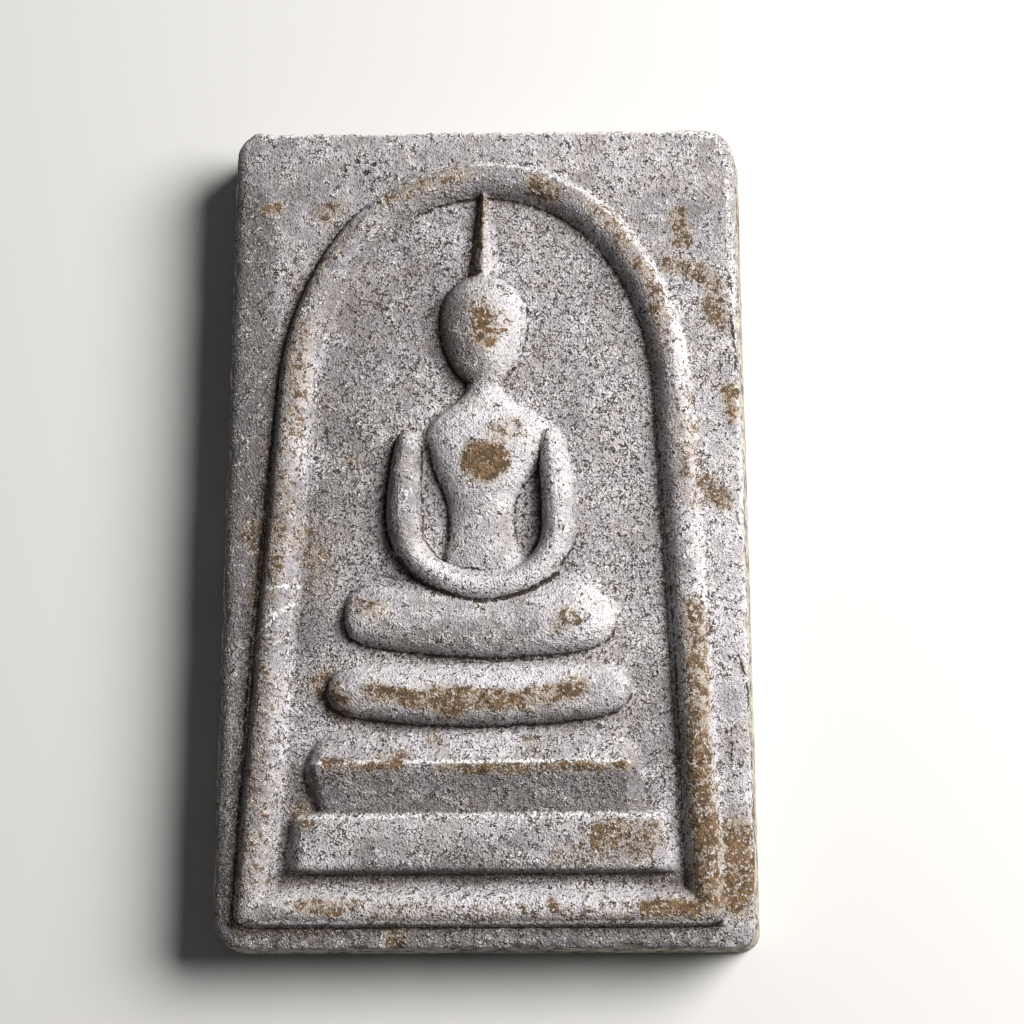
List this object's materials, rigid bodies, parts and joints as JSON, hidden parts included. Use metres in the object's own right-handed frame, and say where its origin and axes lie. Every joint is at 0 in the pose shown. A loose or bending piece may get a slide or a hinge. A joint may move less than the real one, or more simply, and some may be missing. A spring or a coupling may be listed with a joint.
{
  "type": "votive amulet tablet",
  "caption": "Small pressed clay votive tablet with a seated figure on a tiered throne, in low relief inside an arched bead frame.",
  "frame": {"origin": "middle of the flat back, which rests on Z = 0", "axes": "+Z out of the relief face, +Y from the throne towards the crown of the arch, +X to the right as the relief is seen"},
  "size_m": [0.025, 0.0384, 0.0054],
  "materials": {
    "clay": "aged lime clay, matt, with a pale bloom, dark pits and worn brown patches"
  },
  "bodies": {
    "root": {"tablet": "clay"}
  },
  "joints": []
}
